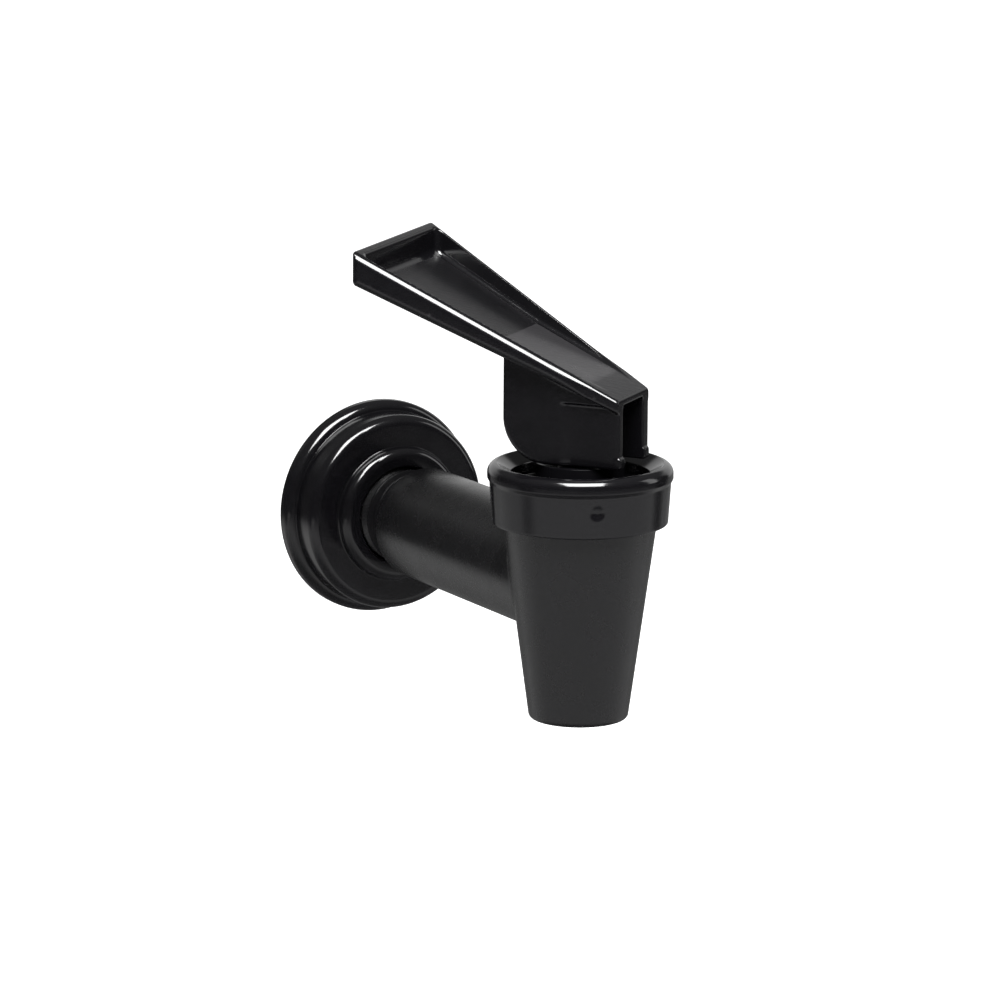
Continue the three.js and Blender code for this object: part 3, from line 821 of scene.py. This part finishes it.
def finish(
    name,
    colour,
    rough,
    metallic=0.0,
    grain=GRAIN,
    grain_depth=GRAIN_DEPTH,
    wear=0.25,
    satin_and_painted_sheen=None,
    painted_shade=None,
    **sockets,
):
    """A moulded or metal surface: mottled colour and roughness, fine grain, faint scuffs and worn edges.

    Faces turned about the given tray direction are rougher than the rest, with fine tool marks, and those
    turned exactly that way get a painted sheen: a paler colour for the brighter light they reflect. In the
    given hollow, as a centre, the axes to measure along and a reach in millimetres, the shine is turned
    down: painted shade.
    """
    tree = Tree(bpy.data.materials.new(name))
    shader = tree.nodes["Principled BSDF"]
    shader.inputs["Metallic"].default_value = metallic
    for socket, value in sockets.items():
        shader.inputs[socket.replace("_", " ")].default_value = value

    clouds = tree.noise(*CLOUDS)
    scuffs = tree.ranged(tree.noise(*SCUFFS), *SCUFF_LEVELS)
    edges = tree.nodes.new("ShaderNodeNewGeometry").outputs["Pointiness"]
    worn = tree.ranged(edges, *EDGE_LEVELS)
    worn = tree.combined("MULTIPLY", worn, tree.ranged(clouds, *WORN_LEVELS))
    dark = (*[c * (1 - MOTTLE) for c in colour], 1)
    light = (*[c * (1 + MOTTLE) for c in colour], 1)
    pale = (*[c + (0.5 - c) * WORN_PALER for c in colour], 1)
    mottled = tree.mixed(clouds, dark, light)
    shade = tree.mixed(tree.combined("MULTIPLY", worn, wear), mottled, pale)

    low, high = rough
    roughness = tree.ranged(clouds, *CLOUD_LEVELS, low, high)
    height = tree.combined("MULTIPLY", tree.noise(grain / COARSER, 2.0), COARSE_HEIGHT)
    height = tree.combined("ADD", tree.noise(grain, 3.0), height)
    if satin_and_painted_sheen is not None:
        facing = tree.vector("DOT_PRODUCT", tree.place.outputs["Normal"], satin_and_painted_sheen)
        turned_up = tree.ranged(facing, *SATIN_FACING)
        roughness = tree.combined("ADD", roughness, tree.combined("MULTIPLY", turned_up, SATIN_ROUGHER))
        tool_marks = tree.ranged(tree.noise(*TOOL_MARKS), *TOOL_LEVELS, 0.0, TOOL_HEIGHT)
        height = tree.combined("ADD", height, tree.combined("MULTIPLY", turned_up, tool_marks))
        # painted sheen: faces turned exactly towards the tray's direction get a paler colour, for the
        # brighter light they reflect
        shade = tree.mixed(tree.ranged(facing, *PAINTED_SHEEN_FACING), shade, PAINTED_TRAY_SHEEN)
    # painted shade: inside the hollow the shine is turned down, so it renders dark as if shaded
    if painted_shade is not None:
        centre, measured, reach = painted_shade
        away = tree.vector("SUBTRACT", tree.place.outputs["Object"], [c * MM for c in centre])
        away = tree.vector("LENGTH", tree.vector("MULTIPLY", away, measured))
        shine = tree.ranged(away, (reach - PAINTED_SHADE_EDGE) * MM, reach * MM, PAINTED_SHADE_SHINE, SHINE)
        tree.feed(shader.inputs["Specular IOR Level"], shine)
    scuffs = tree.combined("MULTIPLY", scuffs, (high - low) * SCUFF_ROUGHER)
    worn = tree.combined("MULTIPLY", worn, wear * WORN_ROUGHER)
    roughness = tree.combined("ADD", tree.combined("ADD", roughness, scuffs), worn)
    tree.feed(shader.inputs["Base Color"], shade)
    tree.feed(shader.inputs["Roughness"], roughness)

    bump = tree.nodes.new("ShaderNodeBump")
    bump.inputs["Strength"].default_value = 1.0
    bump.inputs["Distance"].default_value = grain_depth
    tree.feed(bump.inputs["Height"], height)
    tree.feed(shader.inputs["Normal"], bump.outputs["Normal"])
    return tree.owner


GLOSS = {"colour": (0.0024, 0.0023, 0.0028), "rough": (0.11, 0.16)}
SATIN = {"colour": (0.0034, 0.0033, 0.0037), "rough": (0.23, 0.3), "grain": 1100.0, "grain_depth": 0.000008}
RUBBER = {"colour": (0.02, 0.02, 0.02), "rough": (0.62, 0.78), "grain": 1500.0, "grain_depth": 0.00003}
ACETAL = {"colour": (0.014, 0.014, 0.015), "rough": (0.3, 0.42), "grain_depth": 0.000012}
STEEL = {"colour": (0.56, 0.56, 0.58), "rough": (0.2, 0.36), "grain": 2200.0, "grain_depth": 0.000006}
# hollows that get painted shade: the thread gap between barrel and flange, and the bonnet's mouth
THREAD_GAP = ((0, (BARREL_BACK_Y + GAP_END_Y) / 2, 0), (0, 1, 0), (GAP_END_Y - BARREL_BACK_Y) / 2)
BONNET_MOUTH = (STEM_FOOT.tolist(), (1, 1, 0), MOUTH_R - 0.2)
TRAY_SLOPE = slope(TOP_FRONT, TOP_BACK) - DISH_KINK_DEPTH / (DISH_KINK - DISH_FRONT)
TRAY_NORMAL = (UP - TRAY_SLOPE * BEHIND) / math.hypot(1, TRAY_SLOPE)
LOOKS = {
    "gloss_black": finish("gloss_black", **GLOSS),
    "satin_black": finish("satin_black", **SATIN, wear=0.0, painted_shade=THREAD_GAP),
    "black_rubber": finish("black_rubber", **RUBBER),
    "silicone": finish("silicone", (0.66, 0.63, 0.56), (0.4, 0.55), Subsurface_Weight=0.2, wear=0.0),
    "black_acetal": finish("black_acetal", **ACETAL),
    "steel": finish("steel", **STEEL, metallic=1.0),
}
OWN_LOOKS = {
    "bonnet": finish("gloss_black_bonnet", **GLOSS, painted_shade=BONNET_MOUTH),
    # the handle's tray: rougher faces, and a painted sheen on the front of its floor
    "handle": finish("gloss_black_handle", **GLOSS, satin_and_painted_sheen=TRAY_NORMAL.tolist()),
}
for node, made in pieces.items():
    made.data.materials.clear()
    made.data.materials.append(OWN_LOOKS.get(node, LOOKS[made["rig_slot"]]))

# ---------------------------------------------------------------- camera
AZIMUTH, ELEVATION, ROLL = math.radians(-29.80), math.radians(11.98), math.radians(0.375)
DISTANCE, ASIDE, BELOW, AIM_Z = 1200.0, 12.91, 4.466, 18.07
LENS, SENSOR = 268.9, 36.0
CLIP_START, CLIP_END = 0.01, 50.0
back = Vector(
    (math.sin(AZIMUTH) * math.cos(ELEVATION), -math.cos(AZIMUTH) * math.cos(ELEVATION), math.sin(ELEVATION))
)
level = Vector((math.cos(AZIMUTH), math.sin(AZIMUTH), 0))
upright = back.cross(level)
right = level * math.cos(ROLL) + upright * math.sin(ROLL)
above = upright * math.cos(ROLL) - level * math.sin(ROLL)
aim = Vector((STEM[0], STEM[1], AIM_Z))
camera = bpy.data.objects.new("camera", bpy.data.cameras.new("camera"))
bpy.context.scene.collection.objects.link(camera)
spot = (aim + back * DISTANCE - right * ASIDE - above * BELOW) * MM
camera.matrix_world = Matrix.Translation(spot) @ Matrix((right, above, back)).transposed().to_4x4()
camera.data.lens = LENS
camera.data.sensor_width = SENSOR
camera.data.clip_start, camera.data.clip_end = CLIP_START, CLIP_END
bpy.context.scene.camera = camera

# ---------------------------------------------------------------- floor and light
FLOOR_BELOW, FLOOR_HALF = 0.16, 6.0  # in metres
floor_z = cad_low.z - FLOOR_BELOW
corners = [(x * FLOOR_HALF, y * FLOOR_HALF, floor_z) for x, y in ((-1, -1), (1, -1), (1, 1), (-1, 1))]
floor = mesh_object("floor", np.array(corners), np.array([[0, 1, 2, 3]]))
pale = bpy.data.materials.new("pale_floor")
pale.use_nodes = True
paint = pale.node_tree.nodes["Principled BSDF"].inputs
paint["Base Color"].default_value = (0.93, 0.93, 0.93, 1)
paint["Roughness"].default_value = 0.9
paint["Emission Color"].default_value = (1, 1, 1, 1)
paint["Emission Strength"].default_value = 1.0
floor.data.materials.append(pale)
floor.visible_glossy = False


def softbox(name, direction, distance, width, height, power):
    """A rectangular light that faces the faucet, its sizes in metres and its power in watts."""
    data = bpy.data.lights.new(name, "AREA")
    data.shape = "RECTANGLE"
    data.size, data.size_y = width, height
    data.energy = power
    lamp = bpy.data.objects.new(name, data)
    bpy.context.scene.collection.objects.link(lamp)
    towards = Vector(direction).normalized()
    lamp.location = (cad_low + cad_high) / 2 + towards * distance
    lamp.rotation_mode = "QUATERNION"
    lamp.rotation_quaternion = towards.to_track_quat("Z", "Y")


softbox("key", (-0.2, -0.5, 0.8), 0.7, 0.48, 0.44, 19.0)
softbox("fill_right", (0.9, -0.35, 0.3), 0.9, 0.25, 0.6, 1.0)

world = bpy.data.worlds.new("studio")
studio = Tree(world)
sky = studio.place.outputs["Generated"]
split = studio.nodes.new("ShaderNodeSeparateXYZ")
studio.feed(split.inputs["Vector"], sky)
height = studio.ranged(split.outputs["Z"], -1.0, 1.0)


def by_height(stops):
    """A ramp of grey levels over the direction's height, from -1 straight down to 1 straight up."""
    ramp = studio.nodes.new("ShaderNodeValToRGB")
    while len(ramp.color_ramp.elements) < len(stops):
        ramp.color_ramp.elements.new(0.5)
    for element, (level, grey) in zip(ramp.color_ramp.elements, stops):
        element.position = (level + 1) / 2
        element.color = (grey, grey, grey, 1)
    studio.feed(ramp.inputs["Fac"], height)
    return ramp.outputs["Color"]


FRONT_GREYS = [(-1.0, 0.14), (-0.75, 0.18), (-0.52, 0.6), (-0.35, 0.7), (-0.27, 0.5), (-0.19, 0.05)]
FRONT_GREYS += [(0.2, 0.04), (0.5, 0.12), (1.0, 0.2)]
BACK_GREYS = [(-1.0, 0.14), (-0.5, 0.2), (-0.15, 0.24), (-0.02, 0.75), (0.38, 0.75)]
BACK_GREYS += [(0.46, 0.08), (1.0, 0.15)]
BACKDROP, BACKDROP_EDGES = (0.5, 0.87, 0.0), (0.55, 0.8)  # a pale backdrop behind the faucet
FLAGS, FLAG_EDGES = ((-0.98, 0.2, 0.0), (1.0, 0.0, 0.0)), (0.93, 0.965)
FLAG_GREY, WHITE = (0.04, 0.04, 0.04, 1), (1, 1, 1, 1)

behind = studio.ranged(studio.vector("DOT_PRODUCT", sky, BACKDROP), *BACKDROP_EDGES)
seen = studio.mixed(behind, by_height(FRONT_GREYS), by_height(BACK_GREYS))
for flag in FLAGS:  # upright and black, to draw the dark stripes on the faucet's round faces
    shaded = studio.ranged(studio.vector("DOT_PRODUCT", sky, flag), *FLAG_EDGES)
    seen = studio.mixed(shaded, seen, FLAG_GREY)
straight_on = studio.nodes.new("ShaderNodeLightPath").outputs["Is Camera Ray"]
seen = studio.mixed(straight_on, seen, WHITE)
studio.feed(studio.nodes["Background"].inputs["Color"], seen)
bpy.context.scene.world = world
bpy.context.scene.view_settings.view_transform = "Standard"
